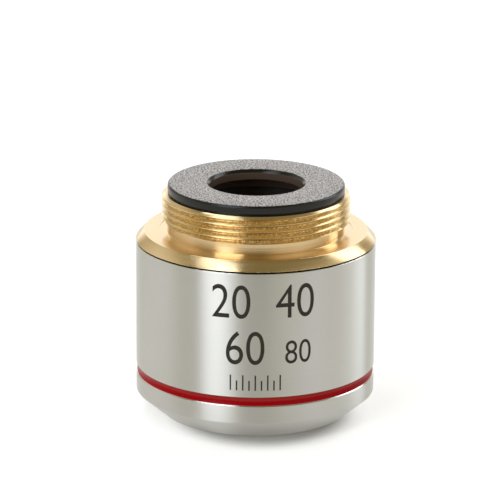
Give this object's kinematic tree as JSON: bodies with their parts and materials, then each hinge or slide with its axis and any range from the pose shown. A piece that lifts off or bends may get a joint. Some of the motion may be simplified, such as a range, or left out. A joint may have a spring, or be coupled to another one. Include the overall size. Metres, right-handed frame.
{
  "type": "microscope objective",
  "caption": "Short low-power microscope objective: satin chrome sleeve with a red band, brass flange and thread, black rear stop, and its lens cells inside.",
  "frame": {"origin": "centre of the front rim, on which the objective stands in the picture", "axes": "+Z along the optical axis, from the specimen side towards the mounting thread; -Y faces the camera of the picture"},
  "size_m": [0.0258, 0.0258, 0.0252],
  "materials": {
    "satin_plate": "satin chrome plating with fine turned and brushed lines",
    "red_enamel": "glossy red enamel in a groove",
    "bare_brass": "bright turned brass",
    "black_anodised": "bead-blasted and anodised black",
    "blackened_brass": "chemically blackened, matte",
    "coated_glass": "polished, with an antireflection coating",
    "crown_glass": "polished crown glass",
    "flint_glass": "polished flint glass"
  },
  "bodies": {
    "root": {"outer_sleeve": "satin_plate", "magnification_band": "red_enamel", "thread_mount": "bare_brass", "rear_stop": "black_anodised", "lens_barrel": "blackened_brass", "parfocal_shim": "bare_brass", "barrel_lock_ring": "blackened_brass", "front_retaining_ring": "blackened_brass", "front_cell": "blackened_brass", "front_lens": "coated_glass", "first_spacer": "blackened_brass", "middle_cell": "blackened_brass", "middle_flint": "flint_glass", "middle_crown": "crown_glass", "second_spacer": "blackened_brass", "field_cell": "blackened_brass", "field_lens": "coated_glass", "rear_cell": "blackened_brass", "rear_crown": "crown_glass", "rear_flint": "flint_glass", "aperture_stop": "black_anodised", "rear_retaining_ring": "blackened_brass"}
  },
  "joints": []
}
